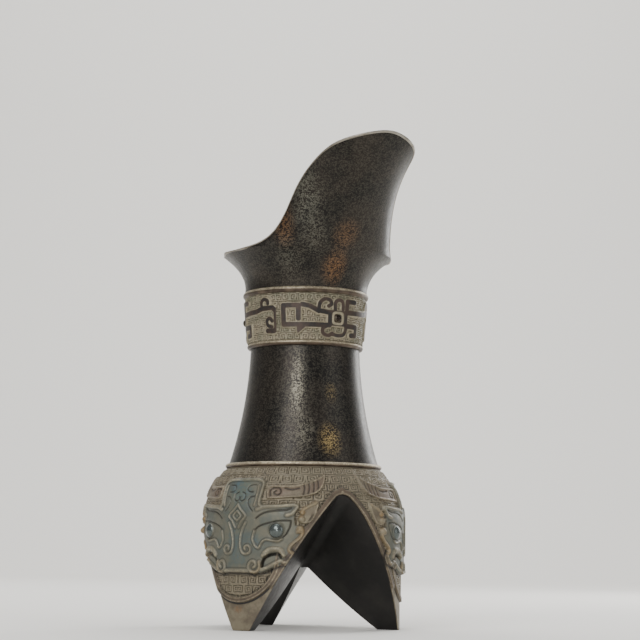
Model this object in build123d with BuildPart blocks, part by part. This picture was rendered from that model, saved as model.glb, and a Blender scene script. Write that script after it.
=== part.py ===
"""Bronze jue: a three-legged wine vessel with a tall spout, a frieze of dragons and beast masks.

The vessel stands on the XY plane with its axis along Z. +X points at the arch under the spout.
The wall is a stack of cast sections that meet at plain beads. The ornaments are cast pieces
seated on that wall, so each of them starts exactly at the wall's outer surface.
"""
import math
import os

from build123d import *

# Wall and stack heights
WALL = 2.1
BODY_H = 68.6
SHOULDER_BEAD_H = 2.0
WAIST_H = 50.4
LOWER_BEAD_H = 2.2
COLLAR_H = 20.3
UPPER_BEAD_H = 2.6
BEAD_PROUD = 0.8

# Outer radii up the stack
BELLY_R = 42.4
SHOULDER_R = 33.4
SHOULDER_H = 23.0
WAIST_FOOT_R = 32.6
WAIST_MID_R = 26.6
WAIST_R = 24.0
COLLAR_FOOT_R = 24.8
COLLAR_R = 26.4
MOUTH_R = 27.0

# Mouth, spout and tail
LIP_R = 38.2
LIP_RISE = 16.2
SPOUT_REACH = 76.0
SPOUT_RISE = 58.9
SPOUT_HALF_W = 24.0
TAIL_REACH = 76.0
TAIL_RISE = 29.0
SPOUT_TURN = 3.0

# Legs and arches
LEG_COUNT = 3
ARCH_DROP = 11.1
ARCH_SLOPE = 1.18
ARCH_ROUND = 5.0
CROTCH_H = 26.0
CROTCH_SLOPE = 1.6
CROTCH_ROUND = 3.0
VAULT_WALL = 2.7
TOE_SOLID_H = 12.0

# Flat bands round the arches and under the masks
BAND_W = 2.1
BAND_RELIEF = 1.0
BAND_SPLIT_Z = 19.0
TOE_BAND_Z = 11.7
TOE_BAND_R = 20.5

# Beast masks, set out from the eye line
MASK_DROP = 26.6
MASK_RELIEF = 1.8
EYE_OUT = 17.9
EYE_R = 3.1
EYE_SUNK = 0.8
MOUTH_SLIT_W = 1.5
BROW_W = 2.0
BROW_BEND = 1.2
BROW_RELIEF = 0.9
HORN_RELIEF = 1.7
EAR_RELIEF = 1.5
EAR_BULGE = 2.1

# Outlines of one half of a mask: distance across from its middle and up from the eye line
FOREHEAD = [(0, 21.2), (6.3, 21.2), (9.5, 20.4), (10.6, 18.6), (10.6, 14.0), (11.0, 10.6), (24.6, 10.8)]
CHEEK = [(25.6, 8.4), (24.4, 3.0), (27.0, 1.4), (27.6, -1.6), (23.6, -7.4), (25.0, -10.4), (20.2, -15.0)]
LIP = [(14.6, -17.1), (11.4, -18.3), (8.2, -18.5)]
LIP_MIDDLE = (0, -18.1)
MOUTH_SLIT = [(12.2, -15.0), (12.8, -13.0), (16.6, -10.4), (20.0, -11.4)]
HORN_TOP = [(14.0, 18.2), (23.0, 18.2)]
HORN_TIP = (29.6, 23.4)
HORN_BEND = [(29.6, 17.2), (24.6, 13.2)]
HORN_ROOT = (14.6, 12.4)
BROW = [(8.2, 4.8), (12.2, 9.2), (23.6, 9.4), (23.9, 6.6), (20.2, 5.2)]
EAR = [(26.6, 3.6), (31.2, 11.4)]

# Frieze dragons
DRAGON_TURN = 8.3
DRAGON_RELIEF = 1.2
DRAGON_BAR = 2.2
DRAGON_BEND = 1.2
DRAGON_HEAD = (10.5, 7.6)
DRAGON_EYE_R = 1.6
DRAGON_EYE_PROUD = 0.9

# Handle over the rear leg
HANDLE_REACH = 47.0
HANDLE_T = 4.0
HANDLE_W = 8.0
HANDLE_DROP = 12.0
HANDLE_H = 30.0
HANDLE_BEND = 9.0
HANDLE_STRAIGHT = 18.0
HEAD_W = 12.0
HEAD_H = 7.6
HEAD_ROUND = 1.6

# Heights of the joints between the stacked sections
WAIST_Z = BODY_H + SHOULDER_BEAD_H
LOWER_BEAD_Z = WAIST_Z + WAIST_H
COLLAR_Z = LOWER_BEAD_Z + LOWER_BEAD_H
UPPER_BEAD_Z = COLLAR_Z + COLLAR_H
MOUTH_Z = UPPER_BEAD_Z + UPPER_BEAD_H
LIP_Z = MOUTH_Z + LIP_RISE
SPOUT_TIP_Z = MOUTH_Z + SPOUT_RISE
TAIL_TIP_Z = MOUTH_Z + TAIL_RISE

# The shoulder is an arc that leaves the upright belly wall and ends at the shoulder bead
BELLY_Z = BODY_H - SHOULDER_H
SHOULDER_IN = BELLY_R - SHOULDER_R
SHOULDER_ARC_R = (SHOULDER_IN**2 + SHOULDER_H**2) / (2 * SHOULDER_IN)
SHOULDER_SWEEP = math.degrees(math.asin(SHOULDER_H / SHOULDER_ARC_R))
SHOULDER_CENTRE = (BELLY_R - SHOULDER_ARC_R, BELLY_Z)

ARCH_H = BODY_H - ARCH_DROP
EYE_Z = BODY_H - MASK_DROP
LEG_STEP = 360 / LEG_COUNT
CUT_DEPTH = 40.0


def radial_plane(angle):
    """Upright plane through the axis, facing outwards: x runs round the wall, y runs up."""
    turn = math.radians(angle)
    return Plane((0, 0, 0), x_dir=(-math.sin(turn), math.cos(turn), 0),
                 z_dir=(math.cos(turn), math.sin(turn), 0))


def belly_radius(z, grow):
    """Outer radius of the belly at a height, with the wall grown outwards."""
    if z <= BELLY_Z:
        return BELLY_R + grow
    reach = (SHOULDER_ARC_R + grow) ** 2 - (z - BELLY_Z) ** 2
    return SHOULDER_CENTRE[0] + math.sqrt(reach)


def belly(grow):
    """Belly as a solid of revolution, grown outwards."""
    with BuildPart() as solid:
        with BuildSketch(Plane.XZ):
            with BuildLine():
                arc = CenterArc(SHOULDER_CENTRE, SHOULDER_ARC_R + grow, 0, SHOULDER_SWEEP)
                Polyline(arc @ 1, (0, (arc @ 1).Y), (0, 0), (BELLY_R + grow, 0), arc @ 0)
            make_face()
        revolve(axis=Axis.Z)
    return solid.part


def arch_section(out, top, slope, corner_r, grow):
    """Upright section of an arch: two slopes that meet in a rounded crown, open to below."""
    lean = math.sqrt(1 + slope**2)
    crown = top + corner_r * (lean - 1) + grow * lean
    half = BELLY_R + CUT_DEPTH
    below = -BELLY_R - CUT_DEPTH - slope * half
    with BuildSketch(Plane.YZ.offset(out)) as section:
        with BuildLine():
            Polyline((0, crown), (half, crown - slope * half), (half, below), (-half, below),
                     (-half, crown - slope * half), close=True)
        make_face()
        fillet(section.vertices().sort_by(Axis.Y)[-1], corner_r + grow)
    return section.sketch


def arch(grow):
    """The vault along +X that climbs from the crotch to the belly wall, grown by a margin."""
    with BuildPart() as vault:
        loft([
            arch_section(0, CROTCH_H, CROTCH_SLOPE, CROTCH_ROUND, grow),
            arch_section(BELLY_R, ARCH_H, ARCH_SLOPE, ARCH_ROUND, grow),
        ], ruled=True)
        outer = vault.faces().sort_by(Axis.X)[-1]
        extrude(outer, amount=CUT_DEPTH)
    return vault.part


def arches(grow):
    """The vaults between all the legs, one solid each."""
    vault = arch(grow)
    return [vault.rotate(Axis.Z, LEG_STEP * number) for number in range(LEG_COUNT)]


OPEN_ARCHES = arches(0)
BORDERED_ARCHES = arches(BAND_W)
BELLY_BARE = belly(0)
BELLY_BAND = belly(BAND_RELIEF)
BELLY_MASK = belly(MASK_RELIEF)
BELLY_BROW = belly(MASK_RELIEF + BROW_RELIEF)
BELLY_HORN = belly(HORN_RELIEF)
BELLY_EAR = belly(EAR_RELIEF)

os.makedirs("parts", exist_ok=True)


def save(part, name):
    part.label = name
    export_step(part, f"parts/{name}.step")


def save_round(part, name):
    """Saves a piece once for each leg, turned round the axis from the first one."""
    for number in range(LEG_COUNT):
        with BuildPart() as turned:
            add(part, rotation=(0, 0, LEG_STEP * number))
        save(turned.part, name.format(number + 1))


# Belly on pouch legs, hollow down to the solid toes

with BuildPart() as hollow:
    with BuildSketch(Plane.XZ):
        with BuildLine():
            inner = CenterArc(SHOULDER_CENTRE, SHOULDER_ARC_R - WALL, 0, SHOULDER_SWEEP)
            Polyline(inner @ 1, (SHOULDER_R - WALL, BODY_H), (0, BODY_H), (0, TOE_SOLID_H),
                     (BELLY_R - WALL, TOE_SOLID_H), inner @ 0)
        make_face()
    revolve(axis=Axis.Z)
    add(arches(VAULT_WALL), mode=Mode.SUBTRACT)

with BuildPart() as tripod_body:
    add(BELLY_BARE)
    add(OPEN_ARCHES, mode=Mode.SUBTRACT)
    add(hollow.part, mode=Mode.SUBTRACT)
save(tripod_body.part, "tripod_body")

# Flat border round each arch, down to where the toe bands take over

with BuildPart() as border:
    add(arch(BAND_W))
    add(arch(0), mode=Mode.SUBTRACT)
    add(BELLY_BAND, mode=Mode.INTERSECT)
    add(BELLY_BARE, mode=Mode.SUBTRACT)
    split(bisect_by=Plane.XY.offset(BAND_SPLIT_Z), keep=Keep.TOP)

save_round(border.part, "arch_border_{}")


# Pieces on the first leg's face, then turned to the others

front = radial_plane(LEG_STEP / 2)


def face(points, way=1):
    """Points of a mask outline on the first leg's face, on the chosen side of its middle."""
    return [(way * across, EYE_Z + up) for across, up in points]


# Band that closes the arch borders under the mask
with BuildPart() as toe_band:
    with BuildSketch(front):
        with Locations((0, TOE_BAND_Z + TOE_BAND_R)):
            Circle(TOE_BAND_R)
            Circle(TOE_BAND_R - BAND_W, mode=Mode.SUBTRACT)
        with Locations((0, BAND_SPLIT_Z)):
            Rectangle(4 * TOE_BAND_R, 4 * TOE_BAND_R, align=(Align.CENTER, Align.MIN),
                      mode=Mode.SUBTRACT)
    extrude(amount=BELLY_R + CUT_DEPTH)
    add(BELLY_BAND, mode=Mode.INTERSECT)
    add(BELLY_BARE, mode=Mode.SUBTRACT)
    add(OPEN_ARCHES, mode=Mode.SUBTRACT)
save_round(toe_band.part, "toe_band_{}")

# Mask plate from the forehead to the overhanging lip
with BuildPart() as plate:
    with BuildSketch(front):
        with BuildLine():
            forehead = Polyline(*face(FOREHEAD))
            cheek = Spline(forehead @ 1, *face(CHEEK))
            lip = Spline(cheek @ 1, *face(LIP))
            Line(lip @ 1, *face([LIP_MIDDLE]))
            mirror(about=Plane.YZ)
        make_face()
        for way in (-1, 1):
            with BuildLine():
                Spline(*face(MOUTH_SLIT, way))
            trace(line_width=MOUTH_SLIT_W, mode=Mode.SUBTRACT)
    extrude(amount=BELLY_R + CUT_DEPTH)
    add(BELLY_MASK, mode=Mode.INTERSECT)
    add(BELLY_BARE, mode=Mode.SUBTRACT)
    add(BORDERED_ARCHES, mode=Mode.SUBTRACT)
save_round(plate.part, "mask_{}_plate")

for side, way in (("left", -1), ("right", 1)):
    # Horn: a straight bar that sweeps up to a point
    with BuildPart() as horn:
        with BuildSketch(front):
            with BuildLine():
                top = Line(*face(HORN_TOP, way))
                sweep_up = TangentArc(top @ 1, *face([HORN_TIP], way), tangent=(way, 0))
                under = ThreePointArc(sweep_up @ 1, *face(HORN_BEND, way))
                Polyline(under @ 1, *face([HORN_ROOT], way), top @ 0)
            make_face()
        extrude(amount=BELLY_R + CUT_DEPTH)
        add(BELLY_HORN, mode=Mode.INTERSECT)
        add(BELLY_BARE, mode=Mode.SUBTRACT)
        add(BORDERED_ARCHES, mode=Mode.SUBTRACT)
    save_round(horn.part, "mask_{}_horn_" + side)

    # Brow: a bar on the plate that hooks back over the eye
    with BuildPart() as brow:
        with BuildSketch(front):
            with BuildLine():
                FilletPolyline(*face(BROW, way), radius=BROW_BEND)
            trace(line_width=BROW_W)
        extrude(amount=BELLY_R + CUT_DEPTH)
        add(BELLY_BROW, mode=Mode.INTERSECT)
        add(BELLY_MASK, mode=Mode.SUBTRACT)
    save_round(brow.part, "mask_{}_brow_" + side)

    # Eye: a dome on the plate
    with BuildPart() as eye:
        seat = math.sqrt(belly_radius(EYE_Z, MASK_RELIEF) ** 2 - EYE_OUT**2)
        with Locations(front.offset(seat - EYE_SUNK)):
            with Locations((way * EYE_OUT, EYE_Z)):
                Sphere(EYE_R)
        add(BELLY_MASK, mode=Mode.SUBTRACT)
    save_round(eye.part, "mask_{}_eye_" + side)

    # Ear: a leaf that leans out along the arch border
    with BuildPart() as ear:
        with BuildSketch(front):
            with BuildLine():
                inner_edge = SagittaArc(*face(EAR, way), way * EAR_BULGE)
                SagittaArc(inner_edge @ 1, inner_edge @ 0, way * EAR_BULGE)
            make_face()
        extrude(amount=BELLY_R + CUT_DEPTH)
        add(BELLY_EAR, mode=Mode.INTERSECT)
        add(BELLY_BARE, mode=Mode.SUBTRACT)
        add(BORDERED_ARCHES, mode=Mode.SUBTRACT)
    save_round(ear.part, "mask_{}_ear_" + side)

# Stacked rings between belly and mouth


def bead(foot_z, foot_r, top_z, top_r):
    """Ring with a rounded outer edge that fills the wall between two sections."""
    with BuildPart() as ring:
        with BuildSketch(Plane.XZ):
            with BuildLine():
                edge = max(foot_r, top_r)
                bulge = ThreePointArc((edge, foot_z), (edge + BEAD_PROUD, (foot_z + top_z) / 2),
                                      (edge, top_z))
                Polyline(bulge @ 1, (top_r - WALL, top_z), (foot_r - WALL, foot_z), bulge @ 0)
            make_face()
        revolve(axis=Axis.Z)
    return ring.part


save(bead(BODY_H, SHOULDER_R, WAIST_Z, WAIST_FOOT_R), "shoulder_bead")
save(bead(LOWER_BEAD_Z, WAIST_R, COLLAR_Z, COLLAR_FOOT_R), "lower_bead")
save(bead(UPPER_BEAD_Z, COLLAR_R, MOUTH_Z, MOUTH_R), "upper_bead")

WAIST_MID = (WAIST_MID_R, WAIST_Z + WAIST_H / 2)

with BuildPart() as waist_core:
    with BuildSketch(Plane.XZ):
        with BuildLine():
            outside = Spline((WAIST_FOOT_R, WAIST_Z), WAIST_MID, (WAIST_R, LOWER_BEAD_Z))
            Polyline(outside @ 1, (0, LOWER_BEAD_Z), (0, WAIST_Z), outside @ 0)
        make_face()
    revolve(axis=Axis.Z)

with BuildPart() as waist:
    add(waist_core.part)
    with BuildSketch(Plane.XZ):
        with BuildLine():
            inside = Spline((WAIST_FOOT_R - WALL, WAIST_Z), (WAIST_MID[0] - WALL, WAIST_MID[1]),
                            (WAIST_R - WALL, LOWER_BEAD_Z))
            Polyline(inside @ 1, (0, LOWER_BEAD_Z), (0, WAIST_Z), inside @ 0)
        make_face()
    revolve(axis=Axis.Z, mode=Mode.SUBTRACT)
save(waist.part, "waist")


def collar_cone(grow):
    """Solid cone of the collar, grown outwards."""
    with BuildPart() as cone:
        with BuildSketch(Plane.XZ):
            with BuildLine():
                Polyline((0, COLLAR_Z), (COLLAR_FOOT_R + grow, COLLAR_Z), (COLLAR_R + grow, UPPER_BEAD_Z),
                         (0, UPPER_BEAD_Z), close=True)
            make_face()
        revolve(axis=Axis.Z)
    return cone.part


with BuildPart() as frieze_collar:
    add(collar_cone(0))
    add(collar_cone(-WALL), mode=Mode.SUBTRACT)
save(frieze_collar.part, "frieze_collar")

# Frieze dragons: flat bars drawn round the collar from the dragon's eye, in millimetres

DRAGON_Z = COLLAR_Z + COLLAR_H / 2
DRAGON_R = (COLLAR_FOOT_R + COLLAR_R) / 2
DRAGON_BARS = {
    "tail": [(-17.0, -1.3), (-17.0, 3.9), (-23.6, 3.9), (-23.4, -3.8), (-4.0, -3.8)],
    "back": [(-15.0, 4.4), (-8.7, 1.6), (-4.0, 1.6)],
    "first_crest": [(-9.0, 2.0), (-8.4, 6.4), (-5.2, 6.4), (-5.2, 4.6)],
    "second_crest": [(-1.8, 2.0), (-1.8, 7.0), (1.0, 7.0), (1.0, 5.2)],
    "third_crest": [(4.4, 2.0), (4.4, 7.2), (8.8, 7.2)],
    "brow": [(4.0, 2.4), (10.0, 2.6), (19.0, 3.1)],
    "trunk": [(18.0, 3.1), (26.2, 3.1), (26.4, -6.0), (21.0, -6.0)],
    "trunk_crest": [(20.0, 3.2), (20.0, 7.4), (22.8, 7.4), (22.8, 5.4)],
    "jaw": [(4.0, -3.4), (12.0, -3.4), (12.0, -7.6), (8.0, -7.6)],
    "claw": [(-4.0, -4.0), (-7.6, -4.6), (-7.4, -7.8), (0.8, -7.8), (1.2, -4.0)],
}
DRAGON_FIN = [(-18.5, -4.0), (-12.5, -4.0), (-17.9, -8.6)]
DRAGON_FIN_MIDDLE = -15.5
DRAGON_EYE_Z = -0.6


def frieze_plane(along):
    """Plane that faces the collar at a distance along the frieze from the first dragon's eye."""
    return radial_plane(DRAGON_TURN + math.degrees(along / DRAGON_R))


with BuildPart() as dragon:
    for points in DRAGON_BARS.values():
        middle = (points[0][0] + points[-1][0]) / 2
        with BuildSketch(frieze_plane(middle)):
            with BuildLine():
                FilletPolyline([(x - middle, DRAGON_Z + z) for x, z in points], radius=DRAGON_BEND)
            trace(line_width=DRAGON_BAR)
        extrude(amount=COLLAR_R + CUT_DEPTH)
    with BuildSketch(frieze_plane(DRAGON_FIN_MIDDLE)):
        with BuildLine():
            Polyline([(x - DRAGON_FIN_MIDDLE, DRAGON_Z + z) for x, z in DRAGON_FIN], close=True)
        make_face()
    extrude(amount=COLLAR_R + CUT_DEPTH)
    with BuildSketch(frieze_plane(0)):
        with Locations((0, DRAGON_Z + DRAGON_EYE_Z)):
            RectangleRounded(*DRAGON_HEAD, DRAGON_BAR / 2)
    extrude(amount=COLLAR_R + CUT_DEPTH)
    add(collar_cone(DRAGON_RELIEF), mode=Mode.INTERSECT)
    with Locations(frieze_plane(0).offset(DRAGON_R + DRAGON_RELIEF + DRAGON_EYE_PROUD - DRAGON_EYE_R)):
        with Locations((0, DRAGON_Z + DRAGON_EYE_Z)):
            Sphere(DRAGON_EYE_R)
    add(collar_cone(0), mode=Mode.SUBTRACT)
save_round(dragon.part, "frieze_dragon_{}")

# Mouth: level sections that swell into the lips, lean out into the spout and run back to the tail

TURN = math.radians(SPOUT_TURN)
SPOUT_DIR = (math.cos(TURN), math.sin(TURN), 0)
SPOUT_SIDE = (math.sin(TURN), -math.cos(TURN), 0)
SPOUT_LEAN = 1.3
TAIL_LEAN = 1.7
LIP_LEAN = 2.3
TAIL_OVER = 1.1
RIM_OVER = 40.0
TIP_OVER = 4.0

# Rim of the spout: shares of its reach, of its climb from the lips and of its half width
SPOUT_RIM = [
    (0.296, 0.094, 1.24),
    (0.400, 0.302, 1.08),
    (0.500, 0.555, 1.0),
    (0.696, 0.800, 0.90),
    (0.799, 0.874, 0.83),
    (0.914, 0.939, 0.73),
]
TAIL_RIM = (0.61, 0.4)
CUP_LEVELS = (0, 0.35, 0.65, 0.85, 1)
SPOUT_CLIMB = SPOUT_RISE - LIP_RISE
SPOUT_ROLL = 0.8
ROUND_SHARE = 0.552
TAIL_PINCH = 0.49
TAIL_POINT = 0.25


def swell(rise, full_rise, start, end, power):
    """Reach and its slope where a wall curves from start to end over a rise."""
    share = rise / full_rise
    reach = start + (end - start) * share**power
    slope = (end - start) * power * share ** (power - 1) / full_rise
    return reach, slope


def mouth_section(rise, thick, rim=None):
    """Level section of the mouth: round in front and drawn out to a point behind.

    Above the lips it passes through a point of the spout's rim, and its flare goes into the
    tail. The wall's thickness is taken off inside, measured square to the sloping wall.
    """
    front, front_slope = swell(rise, SPOUT_RISE, MOUTH_R, SPOUT_REACH, SPOUT_LEAN)
    back, back_slope = swell(min(rise, TAIL_RISE * TAIL_OVER), TAIL_RISE, MOUTH_R, TAIL_REACH, TAIL_LEAN)
    half, half_slope = swell(min(rise, TAIL_RISE), LIP_RISE, MOUTH_R, LIP_R, LIP_LEAN)
    flare = half - thick * math.hypot(1, half_slope)
    middle = 0.0
    if rim:
        middle = rim[0] - SPOUT_ROLL * (front - rim[0])
        half = rim[1] / math.sqrt(1 - (SPOUT_ROLL / (1 + SPOUT_ROLL)) ** 2)
        half_slope = 0.0
    drawn = math.sqrt((back - MOUTH_R) / (TAIL_REACH - MOUTH_R))
    front -= thick * math.hypot(1, front_slope)
    back -= thick * math.hypot(1, back_slope)
    half -= thick * math.hypot(1, half_slope)
    flank = -back * (ROUND_SHARE - TAIL_PINCH * drawn)
    heel = -back * (1 - TAIL_POINT * drawn)
    with BuildSketch(Plane((0, 0, MOUTH_Z + rise), x_dir=SPOUT_DIR)) as section:
        with BuildLine():
            EllipticalCenterArc((middle, 0), front - middle, half, -90, arc_size=90)
            EllipticalCenterArc((middle, 0), front - middle, half, 0, arc_size=90)
            Bezier((middle, half), (flank, flare), (heel, ROUND_SHARE * flare), (-back, 0))
            Bezier((-back, 0), (heel, -ROUND_SHARE * flare), (flank, -flare), (middle, -half))
        make_face()
    return section.sketch


def mouth(thick):
    """Cup from the upper bead to the lips, and spout and tail from there past the spout's tip."""
    cup = [mouth_section(LIP_RISE * share, thick) for share in CUP_LEVELS]
    spout = [cup[-1]]
    rises = [LIP_RISE + climb * SPOUT_CLIMB for reach, climb, width in SPOUT_RIM[:-1]]
    for rise, (reach, climb, width) in zip(rises + [SPOUT_RISE + TIP_OVER], SPOUT_RIM):
        rim = (reach * SPOUT_REACH, width * SPOUT_HALF_W)
        spout.append(mouth_section(rise, thick, rim))
    with BuildPart() as solid:
        loft(cup)
        loft(spout)
    return solid.part


with BuildPart() as mouth_spout:
    add(mouth(0))
    add(mouth(WALL), mode=Mode.SUBTRACT)
    with BuildSketch(Plane((0, 0, 0), x_dir=SPOUT_DIR, z_dir=SPOUT_SIDE)):
        with BuildLine():
            tail_middle = (-TAIL_RIM[0] * TAIL_REACH, LIP_Z + TAIL_RIM[1] * (TAIL_TIP_Z - LIP_Z))
            spout_rim = [(reach * SPOUT_REACH, LIP_Z + climb * SPOUT_CLIMB)
                         for reach, climb, width in SPOUT_RIM]
            rim = Spline((-TAIL_REACH, TAIL_TIP_Z), tail_middle, (0, LIP_Z), *spout_rim,
                         (SPOUT_REACH, SPOUT_TIP_Z))
            above = SPOUT_TIP_Z + RIM_OVER
            front_end = SPOUT_REACH + RIM_OVER
            back_end = -TAIL_REACH - RIM_OVER
            Polyline(rim @ 1, (front_end, SPOUT_TIP_Z), (front_end, above), (back_end, above),
                     (back_end, TAIL_TIP_Z), rim @ 0)
        make_face()
    extrude(amount=SPOUT_REACH + CUT_DEPTH, both=True, mode=Mode.SUBTRACT)
save(mouth_spout.part, "mouth_spout")

# Handle over the rear leg: a strap with a beast head on its upper arm

HANDLE_Z = LOWER_BEAD_Z - HANDLE_DROP
HEAD_Z = HANDLE_Z + HANDLE_T / 2
STRAP_OUT = HANDLE_REACH - HANDLE_T / 2

with BuildPart() as handle_loop:
    with BuildSketch(Plane.XZ):
        with BuildLine():
            root = -WAIST_R / 2
            FilletPolyline((root, HANDLE_Z), (-STRAP_OUT, HANDLE_Z),
                           (-STRAP_OUT, HANDLE_Z - HANDLE_STRAIGHT), (-WAIST_MID_R, HANDLE_Z - HANDLE_H),
                           (root, HANDLE_Z - HANDLE_H), radius=HANDLE_BEND)
        trace(line_width=HANDLE_T)
    extrude(amount=HANDLE_W / 2, both=True)
    add(waist_core.part, mode=Mode.SUBTRACT)
save(handle_loop.part, "handle_loop")

with BuildPart() as handle_head:
    with BuildSketch(Plane.XZ) as muzzle:
        with BuildLine():
            root = -WAIST_R / 2
            snout = -STRAP_OUT + HANDLE_BEND
            Polyline((root, HEAD_Z), (snout, HEAD_Z), (snout, HEAD_Z + HEAD_H / 2),
                     (snout + HEAD_H / 2, HEAD_Z + HEAD_H), (root, HEAD_Z + HEAD_H), close=True)
        make_face()
        fillet(muzzle.vertices().sort_by(Axis.X)[0:3], HEAD_ROUND)
    extrude(amount=HEAD_W / 2, both=True)
    add(waist_core.part, mode=Mode.SUBTRACT)
save(handle_head.part, "handle_head")
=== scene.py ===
import math
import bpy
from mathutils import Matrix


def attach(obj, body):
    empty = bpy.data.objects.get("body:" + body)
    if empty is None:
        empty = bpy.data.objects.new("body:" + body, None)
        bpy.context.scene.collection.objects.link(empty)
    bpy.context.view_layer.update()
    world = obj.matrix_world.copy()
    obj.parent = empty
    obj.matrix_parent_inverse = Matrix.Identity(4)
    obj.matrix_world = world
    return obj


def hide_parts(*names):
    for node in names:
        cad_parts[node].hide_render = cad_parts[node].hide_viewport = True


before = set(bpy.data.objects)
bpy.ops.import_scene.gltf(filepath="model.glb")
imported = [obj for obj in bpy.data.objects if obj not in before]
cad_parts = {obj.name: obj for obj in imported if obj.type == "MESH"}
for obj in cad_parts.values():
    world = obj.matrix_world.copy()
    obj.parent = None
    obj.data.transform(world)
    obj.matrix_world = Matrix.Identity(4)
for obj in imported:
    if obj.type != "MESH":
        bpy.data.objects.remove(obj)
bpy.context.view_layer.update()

from types import SimpleNamespace

import bmesh
import bpy
import numpy as np
from mathutils import Matrix, Vector

bl_info = {
    "name": "Bronze jue finish",
    "version": (1, 0, 0),
    "blender": (4, 5, 0),
    "location": "View3D > Sidebar > Jue",
    "description": "Relief skins, bronze finishes and a studio stage for the jue vessel",
    "category": "Object",
}

# A millimetre, and the distance below which two points are one, in metres
MM = 0.001
MERGE = 1e-6

# Wall of the belly and the collar, as in the solids, in millimetres
BELLY_R = 42.4
SHOULDER_R = 33.4
BODY_H = 68.6
SHOULDER_H = 23.0
COLLAR_Z = 123.2
COLLAR_TOP_Z = 143.5
COLLAR_FOOT_R = 24.8
COLLAR_R = 26.4
FRIEZE_R = 25.6
BELLY_Z = BODY_H - SHOULDER_H
SHOULDER_ARC_R = ((BELLY_R - SHOULDER_R) ** 2 + SHOULDER_H**2) / (2 * (BELLY_R - SHOULDER_R))
LEG_STEP = math.radians(120)

# Arch between two legs: height, slope and crown radius at the axis and at the belly wall, and the span,
# steps and rounds in which its edge is found
CROTCH = (26.0, 1.6, 3.0)
ARCH = (57.5, 1.18, 5.0)
ARCH_REACH = 82.4
ARCH_SPAN = math.radians(58)
ARCH_STEPS = 2400
ARCH_ROUNDS = 8

# The mask is drawn on the belly rolled flat at this radius: across from its middle, and up. Distances from
# a drawn line are worked out no further than the search reach
FACE_R = 44.0
SEARCH_REACH = 6.0
MASK_SHIFTS = (3.5, 0.0, -1.5)

# Edge of one half of the face, from the forehead round the brow and cheek to the lip
FACE_EDGE = [
    (-8, 63.4), (7, 63.4), (10.4, 62.8), (11.8, 61.3), (11.6, 58.5), (11.2, 55), (11.4, 52.8),
    (13.2, 52.2), (19.3, 52.3), (25.5, 52.8), (27.6, 52.2), (28.0, 51.0), (27.2, 49.8), (26.4, 48),
    (26.2, 45.5), (26.6, 43.7), (28.2, 43.9), (29.8, 43.0), (30.3, 41.6), (30.1, 39.8), (29.0, 38.0),
    (27.2, 36.4), (25.4, 35.0), (24.9, 33.9), (25.6, 33.0), (26.8, 32.2), (26.6, 30.8), (25.4, 28.7),
    (23.2, 27.2), (20.9, 27.0), (18.6, 26.4), (15.1, 24.9), (12.4, 23.9), (10, 23.6), (8.5, 23.3),
    (5.6, 23.8), (-8, 23.9),
]
HORN_EDGE = [
    (13.4, 54.4), (13.0, 57.2), (13.4, 60.2), (19, 60.4), (26.3, 60.6), (29.5, 61.4), (33, 62.4),
    (36.4, 63.6), (40.2, 65.4), (39.8, 62.2), (38.2, 59.2), (35.8, 57.0), (33, 56.0), (29.8, 55.3),
    (24, 54.8), (18, 54.4),
]
EAR_EDGE = [
    (28.0, 44.4), (31.3, 44.2), (33.6, 45.4), (35.3, 48.4), (36.3, 51.2), (36.4, 53.8), (34.0, 53.2),
    (31.4, 52.0), (29.2, 50.6), (28.2, 49.4), (27.9, 47.4), (27.6, 45.8),
]

# Raised lines of one half of the face
FOREHEAD_RIM = [
    (0, 62.8), (6.6, 62.8), (9.8, 62.2), (11.0, 60.9), (10.8, 58), (10.4, 55), (10.2, 52.6), (11.2, 51.4),
]
FOREHEAD_INNER = [(9.0, 60.2), (9.0, 57), (8.6, 53.6), (8.2, 51.8)]
BROW_TOP = [
    (9.6, 50.2), (13.2, 51.3), (19.3, 51.6), (22.8, 51.9), (25.5, 52.1), (27.0, 51.8), (27.3, 51.1),
    (26.6, 50.2), (25.5, 48.8), (24.3, 48.1), (22.8, 47.7),
]
TEAR_LOOP = [
    (20.9, 37.9), (19.3, 37.1), (17, 37.3), (14.3, 37.7), (12.6, 36.9), (11.6, 35.4), (11.0, 34.2),
    (9.7, 34.6), (8.6, 36.2), (8.0, 38.1), (8.8, 41.3),
]
NOSE = [
    (4.4, 44.6), (2.9, 41.5), (2.0, 38), (2.1, 34.4), (3.1, 32.3), (5, 31.7), (6.7, 32.5), (6.9, 34.1),
    (5.6, 35.2), (4.3, 34.6), (4.5, 33.6),
]
DIAMOND = [(0, 52.2), (1.9, 49.9), (4.3, 47.4), (2.4, 45.2), (0.9, 42.6)]
DIAMOND_INNER = [(0, 49.6), (1.9, 47.4), (0, 45.4)]
MOUTH_BOW = [(13.2, 31.2), (14.4, 32.7), (16.3, 33.7), (19.3, 33.8), (20.9, 32.8), (21.5, 31.3)]
LIP_CURL = [
    (11.2, 28.6), (11.4, 26.2), (10.2, 24.6), (8.2, 24.3), (6.6, 25.4), (6.5, 27.4), (7.8, 28.8),
    (9.4, 28.4), (9.8, 27), (8.8, 26.2),
]
LIP_EDGE = [(0, 24.7), (3.5, 24.7), (5.8, 24.6)]
JAW_EDGE = [(12.2, 25.2), (15.0, 26.3), (18.0, 27.9), (20.4, 29.0), (22.4, 28.3), (24.4, 29.4), (25.8, 31.4)]
EAR_CURL = [
    (27.4, 41.0), (27.9, 42.6), (29.0, 42.6), (29.5, 41.4), (29.2, 39.8), (28.0, 38.0), (26.0, 36.4),
    (24.4, 34.8), (24.1, 33.2), (25.2, 32.4),
]
EAR_RIM_TOP = [(29.6, 50.3), (32.4, 51.9), (35.0, 53.0)]
EAR_RIM_LOW = [(29.0, 44.7), (31.3, 44.7), (33.4, 45.8), (35.0, 48.8), (35.9, 51.9)]

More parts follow.
